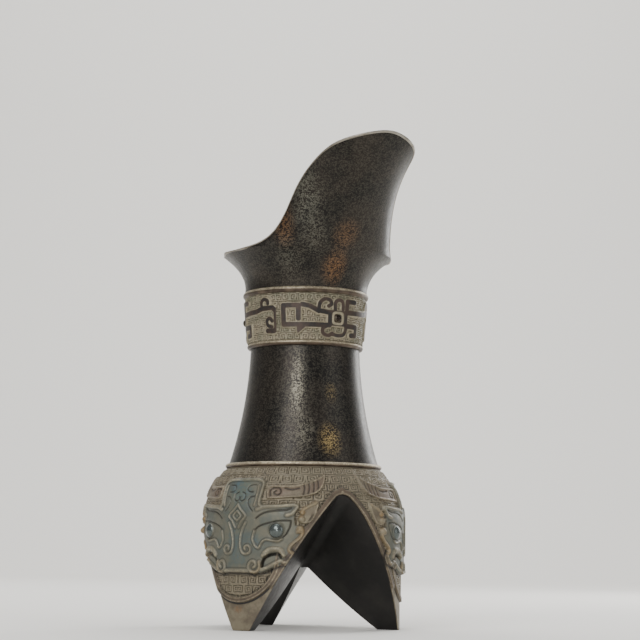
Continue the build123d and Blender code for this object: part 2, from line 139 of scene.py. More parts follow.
# Cut lines of one half of the face
BROW_GROOVE = [(9.3, 46.4), (11.3, 47.9), (14, 49), (17.8, 49.6), (22.4, 49.9), (24.6, 50.6)]
EYELID = [
    (9.0, 41.6), (10.5, 42.9), (13.2, 44), (16.6, 44.8), (19.3, 45.3), (24, 45.5), (24.6, 45),
    (24.3, 43.1), (23.4, 41.2), (22.6, 39.8), (21.4, 38.8),
]
MOUTH_CUT = [(12.5, 26.8), (12.9, 28.8), (14.2, 30.5), (17, 31.6), (19.7, 31.6), (20.8, 30.6)]
FOREHEAD_CURL = [(7.4, 60.4), (4.6, 60.2), (3.4, 58.8), (4.4, 57.6), (6.6, 57.4)]
FOREHEAD_HOOK = [(0.9, 57.4), (2.7, 56.6), (2.9, 54.6), (1.4, 53.6), (0.2, 54.4), (0.6, 55.6)]
CHEEK_LINE = [(7.6, 55.6), (5.8, 55.2), (4.8, 53.6), (5.6, 51.4), (7.4, 49.4)]
HORN_SCROLL = [
    (15.0, 55.6), (14.7, 58.0), (16.4, 59.2), (18.8, 58.9), (19.6, 57.4), (18.6, 56.2), (17.0, 56.3),
    (16.4, 57.3), (17.4, 57.9),
]
HORN_FOLD = [(21.4, 58.9), (24.6, 58.4), (27.8, 59.0)]

# Ribs of the horn: their feet, and the lean, height and rise along the horn of the three points of each
RIB_FEET = (29.6, 31.8, 34.0, 36.0)
RIB_START = 29
RIB_POINTS = ((0, 56.0, 0.22), (0.5, 58.6, 0.3), (0.2, 61.0, 0.3))
HORN_RIBS = [
    [(foot + lean, z + rise * (foot - RIB_START)) for lean, z, rise in RIB_POINTS] for foot in RIB_FEET
]

# The lines with their widths as shares of the line width, and the golden ones with half-width and strength
RAISED_LINES = [
    (FOREHEAD_RIM, 1.2), (FOREHEAD_INNER, 0.8), (BROW_TOP, 1.6), (TEAR_LOOP, 0.9), (NOSE, 1.0),
    (DIAMOND, 0.9), (DIAMOND_INNER, 0.8), (LIP_CURL, 1.2), (LIP_EDGE, 1.9), (JAW_EDGE, 1.6), (EAR_CURL, 1.2),
]
CUT_LINES = [
    (BROW_GROOVE, 0.9), (EYELID, 0.8), (FOREHEAD_CURL, 0.7), (FOREHEAD_HOOK, 0.7), (CHEEK_LINE, 0.7),
    (HORN_SCROLL, 0.7), (HORN_FOLD, 0.7), *((rib, 0.7) for rib in HORN_RIBS),
]
GOLD_LINES = [(EAR_CURL, 1.1, 1.0), (EAR_RIM_TOP, 1.0, 0.7), (LIP_CURL[:4], 0.9, 0.5)]
CUT_DEPTH = 0.8
# Painted shadow beside the raised lines: its offset from them, its half-width and its fade over them
OUTLINE_OFF = 0.25
OUTLINE_HALF = 0.4
OUTLINE_FADE = 0.3
MOUTH_BOW_WIDE = 2.4
MOUTH_BOW_RELIEF = 1.4
MOUTH_CUT_WIDE = 1.3
MOUTH_DEPTH = 1.5

# Fretted grounds: shift across and up, width and height of a spiral, and its turns
LEG_FRET = (1.2, 0.4, 4.4, 3.9, 2.2)
SHOULDER_FRET = (0, -61.2, 6.1, 3.7, 2.4)
FRIEZE_FRET = (0.6, 0.3, 3.4, 3.4, 1.9)
FRET_SIDE = (0.18, 0.5)

# Ground of a leg: its lift, where the shoulder's row begins and where the plain strip under the bead begins
GROUND_LIFT = 0.12
SHOULDER_ROW = (60.4, 61.0)
PLAIN_TOP = (BODY_H - 1.0, BODY_H - 0.6)

# Face, horns and ears: sloping sides as distances into the outline, crown, muzzle, rims and lifts
FACE_SIDE = (-0.25, 0.45)
PLATE_SIDE = (-0.2, 0.5)
CROWN_RELIEF = 0.35
CROWN_REACH = 5
MUZZLE_RELIEF = 0.5
MUZZLE_TOP = (31, 25)
MUZZLE_HALF = (14, 9)
HORN_SUNK = 0.2
HORN_RIM_OFF = 0.55
HORN_RIM_HALF = 0.6
HORN_RIM_RELIEF = 0.5
EAR_RELIEF = 0.9
EAR_RIM_RELIEF = 0.7
EAR_RIMS = [(EAR_RIM_TOP, 1.0), (EAR_RIM_LOW, 0.9)]

# Eyes, golden knobs with their place, radius and foot height, and the ring beside the chin
EYE = (18.5, 41.4)
EYE_LIFT = 0.1
EYE_SQUASH = 0.62
EYE_FADE = 0.35
SOCKET_OFF = 0.15
SOCKET_HALF = 0.45
SOCKET_DEPTH = 0.35
KNOBS = [((29.3, 48.9), 1.2, 0.8), ((29.0, 46.2), 1.5, 0.8), ((28.5, 41.5), 1.3, 1.7)]
KNOB_FADE = 0.3
CHIN_RING = (20.0, 23.1)
CHIN_RING_R = 1.0
CHIN_RING_HALF = 0.5
CHIN_RING_RELIEF = 0.3

# Bands of a leg: middle, radius, half-width and outer edge of the one round the toe, where the borders end,
# where the bare toe begins, the bands' rims, and the grooves beside them
TOE_BAND_Z = 32.2
TOE_BAND_R = 20.5
TOE_BAND_HALF = 19.5
TOE_BAND_EDGE = (20.0, 20.6)
BORDER_FOOT = (17.0, 19.0)
BARE_TOE = (12.2, 11.6)
TOE_LIFT = 0.1
BAND_SOFT = 0.2
BAND_RIM_HALF = 0.4
BORDER_RIM_OFF = 0.3
TOE_RIM_OFF = 0.35
GROOVE_OFF = 0.45
GROOVE_HALF = 0.5
GROOVE_DEPTH = 0.3
BORDER_GROOVE_FOOT = 18
TOE_GROOVE_TOP = 30
TOE_GROOVE_HALF = 21

# Colours of a leg: spread of the blue patina, rust on the toe, painted shadow under the lip, and wear with a
# painted highlight
BLUE_HALF = (9, 1)
BLUE_FOREHEAD = (50, 58)
BLUE_LOW = 0.45
BLUE_CHIN = (24, 30)
BLUE_CHEEK = (9, 37)
BLUE_CHEEK_REACH = (6, 1)
BLUE_CHEEK_SHARE = 0.5
RUST = (0.8, 8.0)
RUST_REACH = (2.4, 0.4)
RUST_STRETCH = 0.8
LIP_SHADOW = (1.5, 0.1)
LIP_SHADOW_EDGE = (0.1, -0.1)
LIP_SHADOW_TOP = 34
MOUTH_SHADE = 0.4
OUTLINE_SHADE = 0.6
WEAR_AND_HIGHLIGHT = {"band": 0.8, "fret": 0.55, "horn": 0.9, "ear": 0.8}

# Skin of a leg: columns and rows, shares rolled under at its sides and foot, how deep, crowding of its rows,
# and steps and top of the arch's edge beside it
LEG_GRID = (330, 285)
SKIN_SIDE = 0.006
SKIN_FOOT = 0.004
SKIN_SUNK = 0.3
ROW_CROWD = 0.06
EDGE_STEPS = 400
EDGE_TOP = ARCH[0] + 0.1

# Flat bars and curls of one frieze dragon: along from its eye, and up from the frieze's middle
DRAGON_BARS = [
    [(-17.2, -1.3), (-17.2, 4.4), (-23.6, 4.4), (-23.4, -3.8), (-4.0, -3.8)],
    [(-15.6, 4.8), (-12.6, 4.2), (-9.3, 2.4), (-4.0, 1.6)],
    [(4.3, 2.0), (4.3, 7.0), (8.8, 7.0)],
    [(4.0, 2.2), (10.0, 2.4), (16.0, 2.6), (20.0, 3.6), (25.0, 3.7), (26.6, 2.2), (26.8, -5.2), (25.6, -6.4),
     (22.4, -6.2)],
    [(4.0, -3.6), (10.4, -3.6), (10.4, -7.2), (7.4, -7.4)],
]
DRAGON_CURLS = [
    [(-8.8, 1.8), (-8.4, 5.4), (-6.6, 7.3), (-4.2, 7.0), (-3.4, 5.4), (-4.6, 4.4)],
    [(-1.6, 2.8), (-1.6, 6.0), (-0.2, 7.3), (1.6, 6.8), (2.2, 5.0), (2.2, 3.4)],
    [(19.6, 3.6), (19.4, 6.2), (20.8, 7.5), (22.6, 6.8), (22.8, 5.6)],
    [(-4.4, -3.8), (-6.8, -5.2), (-6.6, -7.4), (-4.4, -8.2), (-2.6, -7.2)],
    [(-2.6, -7.6), (0.4, -8.0), (3.0, -7.4), (4.0, -5.8), (4.2, -4.0)],
    [(24.6, -4.6), (22.6, -3.8), (22.2, -1.8), (23.6, -0.8), (24.8, -2.0)],
]
DRAGON_FIN = [(-18.5, -4.0), (-12.5, -4.0), (-17.9, -8.6)]
DRAGON_HEAD = [(-5.2, -4.4), (5.2, -4.4), (5.2, 3.2), (-5.2, 3.2)]
DRAGON_EYE = (0.0, -0.6)
DRAGON_TURN = math.radians(8.3)

# Skin of the frieze: columns and rows, margin and lift, sloping side and flat top of the bars, the square
# frame round a dragon's eye with its pit, the eye's boss, and wear with a painted highlight on the fret's
# ridges
FRIEZE_GRID = (690, 92)
FRIEZE_MARGIN = 0.05
FRIEZE_LIFT = 0.1
BAR_SIDE = (-0.3, 0.2)
BAR_TOP = (0.2, 0.55)
FRAME_OUTER = (3.0, 2.7)
FRAME_INNER = (1.7, 2.0)
PIT_SIDE = (3.0, 2.8)
PIT_DEPTH = 0.35
DRAGON_EYE_R = 1.6
DRAGON_EYE_FADE = 0.3
DRAGON_EYE_FOOT = 0.9
DRAGON_EYE_SQUASH = 0.75
FRIEZE_WEAR_AND_HIGHLIGHT = 0.35

# Rim of the mouth: turn of the spout, half-length and half-width, and a height below the lips
SPOUT_TURN = math.radians(3)
MOUTH_REACH = 76.0
MOUTH_HALF = 38.2
RIM_LOW = 161.0

# Edges that belong to the rim: tilt of its cut across the spout, least rise of the cut, flattest fold, and
# least turn of the wall outward
RIM_TILT = 0.05
RIM_RISE = 0.2
RIM_FOLD = 0.97
RIM_OUT = 0.1

# Bead on the rim: steps round the mouth and round itself, smoothing, the spout's tip, widening and depth
RIM_STEPS = 700
RIM_ROUND = 12
RIM_SMOOTHING = 12
RIM_TIP = (52, 72)
RIM_TIP_SHARE = 1.8
RIM_SUNK = 0.25

# Upper edges of the three beads
BEAD_EDGES = (70.4, 123.0, 145.9)

# Stains on the smooth bronze, and pale streaks down the waist that are a painted highlight: middle, squeeze
# along the height, reach, colour and strength
STAINS_AND_HIGHLIGHTS = [
    ((36.5, 1, 177), 0.5, 10, "rust_orange", 1.0), ((29, 0, 160), 0.45, 8, "rust_orange", 0.9),
    ((30, -23, 173), 0.4, 7, "rust_orange", 0.5), ((42, -19, 184), 0.35, 11, "dust_grey", 0.7),
    ((36, -12, 172), 0.35, 9, "dust_grey", 0.5), ((27, -20, 155), 0.5, 9, "dust_grey", 0.5),
    # The two pale streaks on the waist below are a painted speckled highlight
    ((22.5, -13, 104), 0.2, 5, "pale_fleck_and_highlight", 0.6), ((27, -11, 82), 0.4, 6, "pale_fleck_and_highlight", 0.4),
    ((30, -1, 80), 0.7, 7, "fleck_gold", 0.9), ((24.6, 1, 100), 0.6, 4, "fleck_gold", 0.4),
]

# Colours laid over the reliefs by the marks that they carry: mark, strength, patchiness and two colours
RELIEF_LAYERS = [
    ("", 1, 0, "ground_brown", "ground_dust"), ("patina", 1, 0.1, "patina_grey", "patina_tan"),
    ("blue", 0.8, 0.6, "patina_blue", "patina_green"), ("horn", 0.9, 0.3, "horn_red", "ground_brown"),
    # The hollow layer darkens the cut lines, with painted shadow beside the raised lines and in the mouth cut
    ("band", 0.9, 0.1, "oxide_brown", "oxide_dark"), ("hollow", 0.9, 0.1, "hollow_dark", "hollow_dark"),
    # The next layer pales the raised forms with wear and a painted highlight
    ("wear_and_highlight", 0.8, 0.6, "pale_wear_and_highlight", "ground_dust"), ("gold", 0.8, 0.5, "knob_gold", "ground_dust"),
    # The shade layer is painted shadow under the lip and in the mouth cut
    ("rust", 0.6, 0.8, "rust_orange", "oxide_brown"), ("shade", 0.9, 0, "painted_shade_black", "painted_shade_black"),
    ("eye", 1, 0, "eye_dark", "eye_dark"),
]
FRIEZE_LAYERS = [
    ("", 1, 0, "frieze_dust", "frieze_green"), ("hollow", 0.9, 0.1, "hollow_dark", "hollow_dark"),
    # The pale-edge layer is wear with a painted highlight
    ("bar", 1, 0, "bar_dark", "bar_brown"), ("wear_and_highlight", 0.9, 0.4, "pale_wear_and_highlight", "ground_dust"),
    ("eye", 1, 0, "bar_dark", "oxide_dark"),
]

# Grain of the bronze: noise, dots by size and share of the flecks, the ranges that are spread, and pits.
# Real flecks are finer, and these are drawn as coarse as they need to be to show
NOISE_DETAIL = 5.0
NOISE_ROUGHNESS = 0.6
DOT_SIZE = 0.6
DOT_SHARE = 0.45
CLOUD_RANGE = (0.36, 0.64)
SPECK_RANGE = (0.4, 0.66)
GLOSS_RANGE = (0.3, 0.7)
PIT_STRENGTH = 0.15
PIT_MM = 0.4

# Wear of the bronze and painted highlights: pale specks, the painted highlight on the beads' upper edges and
# its patches, the painted highlight on the rim and its patches, and how metallic and rough the reliefs and
# their eyes are
PALE_SPECKS = 0.12
BEAD_EDGE_MM = (0.5, 1.1)
BEAD_EDGE_SHARE = 0.95
BEAD_HIGHLIGHT_PATCHES = 0.5
RIM_BRIGHT = 0.7
RIM_PATCH = 0.4
RELIEF_METAL = 0.3
EYE_METAL = 0.8
EYE_ROUGHNESS = 0.22

# Sockets of a Mix node that blends colours: share, colour under and colour over, and the blend
SHARE, UNDER, OVER, BLEND = 0, 6, 7, 2

# Stage, in metres: half-width and reach of the floor, its sweep and wall, the view's turn, place, pitch and
# roll, the lens in millimetres, paper and world, and the lights with place, aim, size and power
FLOOR_HALF = 4.0
FLOOR_FRONT = 2.0
FLOOR_BACK = 1.4
SWEEP_R = 0.8
SWEEP_STEPS = 24
WALL_H = 2.0
VIEW_TURN = math.radians(155.98)
CAMERA_PLACE = (0.7168, -0.3124, 0.032)
CAMERA_PITCH = math.radians(7.5)
CAMERA_ROLL = math.radians(0.7)
LENS_MM = 100
SENSOR_MM = 36
PAPER_ROUGHNESS = 0.85
WORLD_GREY = (0.8, 0.8, 0.8, 1)
WORLD_STRENGTH = 0.5
LIGHTS = [
    ("key_light", (0.75, -0.95, 0.75), (0, 0, 0.1), (0.5, 0.8), 9.0),
    ("strip_light", (0.80, -0.57, 0.28), (0, 0, 0.1), (0.05, 0.6), 2.4),
    ("fill_light", (1.0, 0.7, 0.45), (0, 0, 0.1), (0.8, 0.8), 3.0),
    ("rim_light", (-0.4, 0.8, 0.4), (0, 0, 0.12), (0.15, 0.6), 3.5),
    ("top_light", (0.1, 0.0, 1.3), (0, 0, 0.1), (0.9, 0.9), 7.0),
    ("backdrop_light", (-0.5, 0.25, 1.7), (-2.0, 0.9, 0.3), (1.6, 0.6), 45.0),
]


def linear(code):
    """Linear RGBA of an sRGB hex colour."""
    parts = [int(code[i:i + 2], 16) / 255 for i in (1, 3, 5)]
    return [c / 12.92 if c <= 0.04045 else ((c + 0.055) / 1.055) ** 2.4 for c in parts] + [1.0]


def node(tree, kind, inputs, **settings):
    """Adds a shader node, sets it, and links or fills its inputs by name or number."""
    made = tree.nodes.new(kind)
    for name, value in settings.items():
        setattr(made, name, value)
    for key, value in inputs.items():
        if isinstance(value, bpy.types.NodeSocket):
            tree.links.new(value, made.inputs[key])
        else:
            made.inputs[key].default_value = value
    return made


def flow(points, step=0.35):
    """A smooth line through points, as closely spaced points."""
    p = np.array(points, float)
    p = np.vstack([2 * p[0] - p[1], p, 2 * p[-1] - p[-2]])
    line = []
    for a, b, c, d in zip(p, p[1:], p[2:], p[3:]):
        t = np.linspace(0, 1, max(2, int(np.hypot(*(c - b)) / step)), endpoint=False)[:, None]
        line.append(b + 0.5 * t * (c - a + t * (2 * a - 5 * b + 4 * c - d + t * (3 * b - a - 3 * c + d))))
    return np.vstack(line + [p[-2:-1]])


def away(x, z, line):
    """Distance of each point from a line, no further than the search reach."""
    far = np.full(x.shape, SEARCH_REACH)
    low, high = line.min(0) - SEARCH_REACH, line.max(0) + SEARCH_REACH
    near = np.nonzero((x > low[0]) & (x < high[0]) & (z > low[1]) & (z < high[1]))
    px, pz = x[near], z[near]
    best = far[near]
    for (ax, az), (bx, bz) in zip(line, line[1:]):
        dx, dz = bx - ax, bz - az
        t = np.clip(((px - ax) * dx + (pz - az) * dz) / (dx * dx + dz * dz + 1e-12), 0, 1)
        best = np.minimum(best, np.hypot(px - ax - t * dx, pz - az - t * dz))
    far[near] = best
    return far


def within(x, z, line):
    """Distance into a closed outline, below zero outside it."""
    ring = np.vstack([line, line[:1]])
    odd = np.zeros(x.shape, bool)
    for (ax, az), (bx, bz) in zip(ring, ring[1:]):
        if az != bz:
            odd ^= ((az > z) != (bz > z)) & (x < (bx - ax) * (z - az) / (bz - az) + ax)
    return np.where(odd, 1, -1) * away(x, z, ring)


def ease(low, high, value):
    """Smooth step from 0 at low to 1 at high."""
    t = np.clip((value - low) / (high - low), 0, 1)
    return t * t * (3 - 2 * t)


def bump(distance, half):
    """Rounded ridge across a line of that half-width."""
    return np.clip(1 - (distance / half) ** 2, 0, 1)


def with_boss(height, distance, radius, foot, squash=1.0):
    """The relief with a domed boss set on it, its foot at a height."""
    dome = foot + squash * np.sqrt(np.maximum(radius**2 - distance**2, 0))
    return np.where(distance < radius, np.maximum(height, dome), height)


def key_fret(x, z, pattern):
    """Square spirals in staggered rows, from 0 in the cut line to 1 on the ridge."""
    shift_x, shift_z, wide, tall, turns = pattern
    row = (z + shift_z) / tall
    column = (x + shift_x) / wide + 0.5 * (np.floor(row) % 2)
    u = (column % 1 - 0.5) * np.where(np.floor(column) % 2 == 0, 1, -1)
    v = row % 1 - 0.5
    u_away, v_away = np.abs(u), np.abs(v)
    by_u, by_v = v / (2 * u_away + 1e-9), u / (2 * v_away + 1e-9)
    side = np.where(
        u_away >= v_away,
        np.where(u > 0, by_u, 2 - by_u),
        np.where(v > 0, 1 - by_v, 3 + by_v),
    )
    wave = (2 * np.maximum(u_away, v_away) * turns - side / 4) % 1
    return ease(*FRET_SIDE, np.abs(wave - 0.5) * 2)


def size(name):
    """One of the relief's sizes, in millimetres."""
    return getattr(bpy.context.scene.jue_sizes, name) / MM


def belly_radius(z):
    """Outer radius of the belly at a height."""
    up = np.maximum(z - BELLY_Z, 0)
    return BELLY_R - SHOULDER_ARC_R + np.sqrt(SHOULDER_ARC_R**2 - up**2)


def arch_height(turn, radius):
    """Height of the arch over a point of the wall, by its angle from the arch's middle."""
    out, side = radius * np.cos(turn), radius * np.sin(turn)
    share = np.minimum(out / BELLY_R, 1)
    ends = []
    for top, slope, crown_r in (CROTCH, ARCH):
        lean = math.sqrt(1 + slope**2)
        crown = top + crown_r * (lean - 1)
        tangent_y = crown_r * slope / lean
        straight_top = crown - slope * tangent_y
        ends.append((tangent_y, straight_top, crown - slope * ARCH_REACH, top - crown_r, crown_r))
    y0, z0, low, centre, crown_r = [a + (b - a) * share for a, b in zip(*ends)]
    straight = z0 + (side - y0) / (ARCH_REACH - y0) * (low - z0)
    return np.where(side < y0, centre + np.sqrt(np.maximum(crown_r**2 - side**2, 0)), straight)


def arch_turn(z, grow):
    """Angle of the arch's edge from its middle at a height, 0 above its crown."""
    turns = np.linspace(0, ARCH_SPAN, ARCH_STEPS)
    heights = np.full(turns.shape, BELLY_Z)
    for _ in range(ARCH_ROUNDS):
        heights = arch_height(turns, belly_radius(heights) + grow)
    return np.interp(-z, -heights, turns)


def sheet(name, columns, rows, shape):
    """A fine grid whose points are placed by a function of their column and row shares."""
    bm = bmesh.new()
    bmesh.ops.create_grid(bm, x_segments=columns, y_segments=rows, size=0.5)
    mesh = bpy.data.meshes.new(name)
    bm.to_mesh(mesh)
    bm.free()
    flat = np.empty(len(mesh.vertices) * 3)
    mesh.vertices.foreach_get("co", flat)
    flat = flat.reshape(-1, 3)
    places, marks = shape(flat[:, 0] + 0.5, flat[:, 1] + 0.5)
    mesh.vertices.foreach_set("co", (places * MM).ravel())
    for label, values in marks.items():
        mesh.attributes.new(label, "FLOAT", "POINT").data.foreach_set("value", values.astype(np.float32))
    bm = bmesh.new()
    bm.from_mesh(mesh)
    bmesh.ops.remove_doubles(bm, verts=bm.verts, dist=MERGE)
    for face in bm.faces:
        face.smooth = True
    bm.to_mesh(mesh)
    bm.free()
    mesh.update()
    piece = bpy.data.objects.new(name, mesh)
    bpy.context.scene.collection.objects.link(piece)
    return piece


def leg_ground(x, z):
    """Fretted ground of a leg, with a row of larger spirals along the shoulder: its height and its ridges."""
    row = ease(*SHOULDER_ROW, z)
    fret = key_fret(x, z, LEG_FRET) * (1 - row) + key_fret(x, z, SHOULDER_FRET) * row
    plain = ease(*PLAIN_TOP, z)
    return GROUND_LIFT + size("fret_relief") * fret * (1 - plain), fret


def mask_lines(x, z):
    """Raised lines of the half-face, the painted shadow beside them, its cut lines and its mouth's cut."""
    half = size("line_width") / 2
    raised, beside, cut = np.zeros((3, *x.shape))
    for line, wide in RAISED_LINES:
        off = away(x, z, flow(line))
        raised = np.maximum(raised, bump(off, half * wide))
        beside = np.maximum(beside, bump(off - half * wide - OUTLINE_OFF, OUTLINE_HALF))
    beside = beside * ease(OUTLINE_FADE, 0, raised)
    bow = bump(away(x, z, flow(MOUTH_BOW)), half * MOUTH_BOW_WIDE)
    raised = np.maximum(raised, MOUTH_BOW_RELIEF * bow)
    for line, wide in CUT_LINES:
        cut = np.maximum(cut, bump(away(x, z, flow(line)), half * wide))
    mouth = bump(away(x, z, flow(MOUTH_CUT)), half * MOUTH_CUT_WIDE)
    return raised, beside, cut, mouth


def leg_bands(x, z, edge_away):
    """Flat bands along the arches and round the toe, their rims, their grooves, and the bare toe."""
    wide = size("band_width")
    centre_away = np.hypot(x, z - TOE_BAND_Z)
    toe_away = np.abs(centre_away - TOE_BAND_R + wide / 2)
    border = ease(wide + BAND_SOFT, wide - BAND_SOFT, edge_away) * ease(*BORDER_FOOT, z)
    turned = ease(wide / 2 + BAND_SOFT, wide / 2 - BAND_SOFT, toe_away)
    band = np.maximum(border, turned * (z < TOE_BAND_Z) * (x < TOE_BAND_HALF))
    rim = band * np.maximum(
        bump(edge_away - BORDER_RIM_OFF, BAND_RIM_HALF),
        bump(toe_away - wide / 2 + TOE_RIM_OFF, BAND_RIM_HALF),
    )
    groove = (1 - band) * np.maximum(
        bump(edge_away - wide - GROOVE_OFF, GROOVE_HALF) * (z > BORDER_GROOVE_FOOT),
        bump(toe_away - wide / 2 - GROOVE_OFF, GROOVE_HALF) * (z < TOE_GROOVE_TOP) * (x < TOE_GROOVE_HALF),
    )
    toe = np.maximum(ease(*TOE_BAND_EDGE, centre_away) * (z < BORDER_FOOT[1]), ease(*BARE_TOE, z))
    return band, rim, groove, toe


def leg_relief(x, z, edge_away):
    """Height of the relief on a leg, and how much of each finish shows, from the half-face drawing."""
    lines, relief = size("line_relief"), size("mask_relief")
    ground, fret = leg_ground(x, z)
    raised, beside, cut, mouth = mask_lines(x, z)
    band, band_rim, groove, toe = leg_bands(x, z, edge_away)

    face_in = within(x, z, flow(FACE_EDGE))
    face = ease(*FACE_SIDE, face_in)
    crown = CROWN_RELIEF * ease(0, CROWN_REACH, face_in)
    muzzle = MUZZLE_RELIEF * ease(*MUZZLE_TOP, z) * ease(*MUZZLE_HALF, x)
    horn_in = within(x, z, flow(HORN_EDGE))
    horn = ease(*PLATE_SIDE, horn_in)
    horn_rim = bump(horn_in - HORN_RIM_OFF, HORN_RIM_HALF)
    ear = ease(*PLATE_SIDE, within(x, z, flow(EAR_EDGE)))
    ear_rim = np.maximum.reduce([bump(away(x, z, flow(line)), half) for line, half in EAR_RIMS])
    height = ground * (1 - face) + (relief + crown + muzzle) * face
    height = np.maximum(height, horn * (relief - HORN_SUNK + HORN_RIM_RELIEF * horn_rim))
    height = np.maximum(height, ear * (EAR_RELIEF + EAR_RIM_RELIEF * ear_rim))
    height = height + lines * (raised - CUT_DEPTH * cut * np.maximum(face, horn)) - MOUTH_DEPTH * mouth * face

    eye_away = np.hypot(x - EYE[0], z - EYE[1])
    eye_r = size("eye_width") / 2
    eye = ease(eye_r, eye_r - EYE_FADE, eye_away)
    height = height - SOCKET_DEPTH * bump(eye_away - eye_r - SOCKET_OFF, SOCKET_HALF)
    height = with_boss(height, eye_away, eye_r, relief + EYE_LIFT, EYE_SQUASH)
    gold = np.zeros(x.shape)
    for (knob_x, knob_z), knob_r, foot in KNOBS:
        knob_away = np.hypot(x - knob_x, z - knob_z)
        height = with_boss(height, knob_away, knob_r, foot)
        gold = np.maximum(gold, ease(knob_r + KNOB_FADE, knob_r - KNOB_FADE, knob_away))
    for line, half, strength in GOLD_LINES:
        gold = np.maximum(gold, strength * bump(away(x, z, flow(line)), half))

    ring = bump(np.hypot(x - CHIN_RING[0], z - CHIN_RING[1]) - CHIN_RING_R, CHIN_RING_HALF)
    groove = groove * (1 - face)
    height = height * (1 - toe) + TOE_LIFT * toe
    height = np.maximum(height, (1 - face) * (GROUND_LIFT + CHIN_RING_RELIEF * ring))
    height = np.maximum(height, band * size("band_relief")) - GROOVE_DEPTH * groove

    bare = (1 - np.maximum.reduce([face, horn, ear])) * (1 - band) * (1 - toe)
    patina = face * (1 - eye) * (1 - gold)
    cheek = ease(*BLUE_CHEEK_REACH, np.hypot(x - BLUE_CHEEK[0], z - BLUE_CHEEK[1]))
    forehead = BLUE_LOW + (1 - BLUE_LOW) * ease(*BLUE_FOREHEAD, z)
    blue = ease(*BLUE_HALF, x) * forehead * ease(*BLUE_CHIN, z) + BLUE_CHEEK_SHARE * cheek
    # Darker cut lines, mouth cut and grooves; the mouth cut and the outlines beside the raised lines are
    # painted shade
    cuts = face * np.maximum.reduce([cut, mouth, OUTLINE_SHADE * beside]) + horn * cut + groove
    # Paler raised lines, band rims, fret ridges and horn and ear rims: wear with a painted highlight
    wear_and_highlight = face * raised + WEAR_AND_HIGHLIGHT["band"] * band_rim + WEAR_AND_HIGHLIGHT["fret"] * bare * fret
    wear_and_highlight = wear_and_highlight + WEAR_AND_HIGHLIGHT["horn"] * horn * horn_rim + WEAR_AND_HIGHLIGHT["ear"] * ear * ear_rim
    # Painted shadow under the lip's edge
    under_lip = ease(*LIP_SHADOW, -face_in) * ease(*LIP_SHADOW_EDGE, face_in) * (z < LIP_SHADOW_TOP)
    marks = {
        "patina": patina,
        "blue": np.clip(blue, 0, 1) * patina,
        "horn": horn * (1 - face),
        "gold": gold,
        "eye": eye,
        "hollow": np.clip(bare * (1 - fret) + cuts, 0, 1) * (1 - eye),
        "wear_and_highlight": np.clip(wear_and_highlight, 0, 1) * (1 - eye),
        "band": band,
        "rust": ease(*RUST_REACH, np.hypot(x - RUST[0], RUST_STRETCH * (z - RUST[1]))),
        # Painted shade in the mouth cut and painted shadow under the lip
        "shade": np.maximum(MOUTH_SHADE * mouth * face, under_lip),
    }
    return height, marks


def leg_shape(middle, shift):
    """Places a leg's skin on the belly wall between its arches, with the mask shifted off its middle."""
    def shape(u, v):
        band_relief = size("band_relief")
        climb = np.clip((v - SKIN_FOOT) / (1 - 2 * SKIN_FOOT), 0, 1)
        z = BODY_H * (climb + ROW_CROWD * np.sin(2 * math.pi * climb) / (2 * math.pi))
        share = np.clip((u - SKIN_SIDE) / (1 - 2 * SKIN_SIDE), 0, 1)
        turn = (2 * share - 1) * (LEG_STEP / 2 - arch_turn(z, band_relief))
        levels = np.linspace(0, BODY_H, EDGE_STEPS)
        levels = levels[levels < EDGE_TOP]
        edge = np.column_stack([FACE_R * (LEG_STEP / 2 - arch_turn(levels, band_relief)), levels])
        across = turn * FACE_R
        height, marks = leg_relief(np.abs(across - shift), z, away(np.abs(across), z, edge))
        rolled = (u < SKIN_SIDE) | (u > 1 - SKIN_SIDE) | (v < SKIN_FOOT)
        radius = belly_radius(z) + np.where(rolled, -SKIN_SUNK, height)
        places = [radius * np.cos(middle + turn), radius * np.sin(middle + turn), z]
        return np.column_stack(places), marks
    return shape


